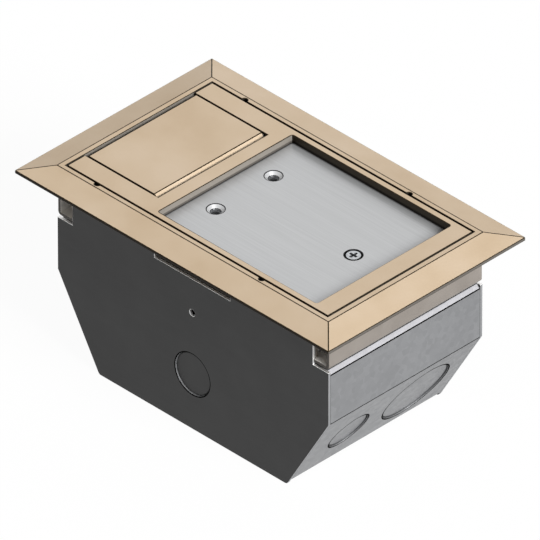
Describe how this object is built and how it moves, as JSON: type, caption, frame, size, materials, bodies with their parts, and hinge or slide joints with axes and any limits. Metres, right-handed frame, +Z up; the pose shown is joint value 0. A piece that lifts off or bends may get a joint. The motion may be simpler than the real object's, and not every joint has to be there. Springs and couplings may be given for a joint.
{
  "type": "floor socket box",
  "caption": "Recessed floor box with a bevelled trim frame, a lift-out lid holding a hinged cord door and a floor plate, and a bent steel body with knockouts.",
  "frame": {"origin": "under the middle of the box, at the lower edges of its side panels", "axes": "+X along the box towards the floor plate's end, +Y across it, +Z up through the lid"},
  "size_m": [0.254, 0.1596, 0.1307],
  "materials": {
    "tan_casting": "tan powder coat on cast aluminium",
    "plain_sheet": "uncoated sheet, dull",
    "dark_panel": "dark satin coat on sheet steel",
    "galvanised_sheet": "galvanised sheet",
    "floor_plate_steel": "satin",
    "zinc_fastener": "bright zinc plate",
    "ivory_plastic": "moulded",
    "black_plastic": "moulded",
    "contact_brass": "rolled",
    "seal_rubber": "matt",
    "green_screw": "green chromate"
  },
  "bodies": {
    "box": {"side_panel_front": "dark_panel", "side_panel_back": "dark_panel", "body_wrap": "galvanised_sheet", "trim_frame": "tan_casting", "frame_skirt": "plain_sheet", "frame_screws": "zinc_fastener", "frame_spacers": "zinc_fastener", "frame_nuts": "zinc_fastener", "lid_gasket": "seal_rubber", "plate_rail_front": "galvanised_sheet", "plate_rail_back": "galvanised_sheet", "device_plate": "floor_plate_steel", "device_plate_screws": "zinc_fastener", "device_yokes": "galvanised_sheet", "device_screws": "zinc_fastener", "duplex_socket_a": "ivory_plastic", "duplex_socket_b": "ivory_plastic", "socket_contacts": "contact_brass", "blank_insert": "ivory_plastic", "data_insert": "ivory_plastic", "data_jacks": "black_plastic", "divider": "galvanised_sheet", "ground_screw": "green_screw"},
    "lid": {"lid_frame": "tan_casting", "floor_plate": "floor_plate_steel", "insert_bushes": "zinc_fastener", "floor_plate_screws": "zinc_fastener", "hinge_pins": "zinc_fastener"},
    "cable_door": {"cable_door": "tan_casting"},
    "latch": {"latch_screw": "zinc_fastener", "latch_spacer": "zinc_fastener", "latch_bar": "galvanised_sheet", "latch_nut": "zinc_fastener"}
  },
  "joints": [
    {"name": "lid_lift", "type": "slide", "parent": "box", "child": "lid", "axis": [0, 0, 1], "range_m": [0, 0.08]},
    {"name": "door_hinge", "type": "hinge", "parent": "lid", "child": "cable_door", "pos_m": [-0.05015, 0, 0.1281], "axis": [0, 1, 0], "range_deg": [0, 110]},
    {"name": "latch_turn", "type": "hinge", "parent": "lid", "child": "latch", "pos_m": [0.0677, 0, 0.1236], "axis": [0, 0, 1], "range_deg": [-90, 0]}
  ]
}
